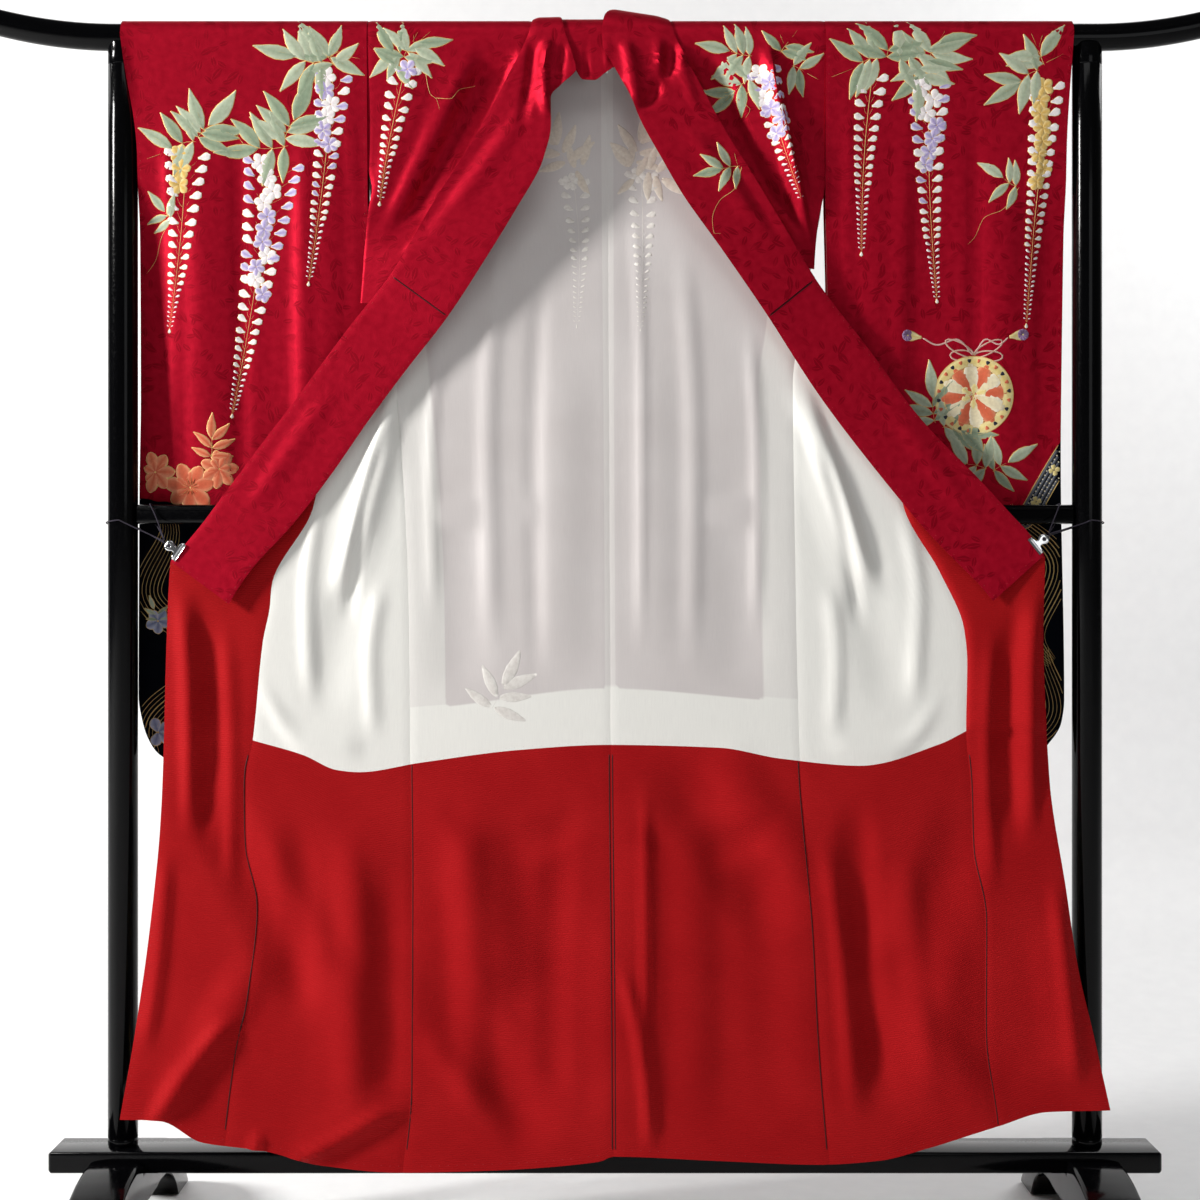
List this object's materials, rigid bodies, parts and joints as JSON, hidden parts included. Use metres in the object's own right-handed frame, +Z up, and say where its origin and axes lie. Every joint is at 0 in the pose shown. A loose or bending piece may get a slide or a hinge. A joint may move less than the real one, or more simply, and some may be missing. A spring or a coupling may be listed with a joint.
{
  "type": "furisode kimono on a kimono stand",
  "caption": "Long-sleeved lined kimono hung open on a lacquered kimono stand, its collar ends held out to the stand by clips on thin cords.",
  "frame": {"origin": "centre of the footprint on the floor, midway between the two feet", "axes": "+X along the top rail to the viewer's right, +Y to the rear of the stand, +Z up"},
  "size_m": [1.86, 0.55, 1.7542],
  "materials": {
    "satin": "satin",
    "lining": "satin",
    "crepe": "matte",
    "lacquer": "gloss",
    "chrome": "polished",
    "cord": "matte"
  },
  "bodies": {
    "root": {"back_left": "satin", "back_right": "satin", "front_left": "satin", "front_right": "satin", "okumi_left": "satin", "okumi_right": "satin", "sleeve_left": "satin", "sleeve_right": "satin", "collar_left": "satin", "collar_right": "satin", "collar_back": "satin", "overlay_left": "satin", "overlay_right": "satin", "lining_back_left": "lining", "lining_back_right": "lining", "lining_front_left": "lining", "lining_front_right": "lining", "hem_back_left": "crepe", "hem_back_right": "crepe", "hem_front_left": "crepe", "hem_front_right": "crepe", "hem_okumi_left": "crepe", "hem_okumi_right": "crepe", "top_rail": "lacquer", "upright_left": "lacquer", "upright_right": "lacquer", "mid_rail": "lacquer", "base_bar": "lacquer", "foot_left": "lacquer", "foot_right": "lacquer", "clip_left": "chrome", "clip_right": "chrome", "tie_post_left": "cord", "tie_post_right": "cord", "tie_rail_left": "cord", "tie_rail_right": "cord"}
  },
  "joints": []
}
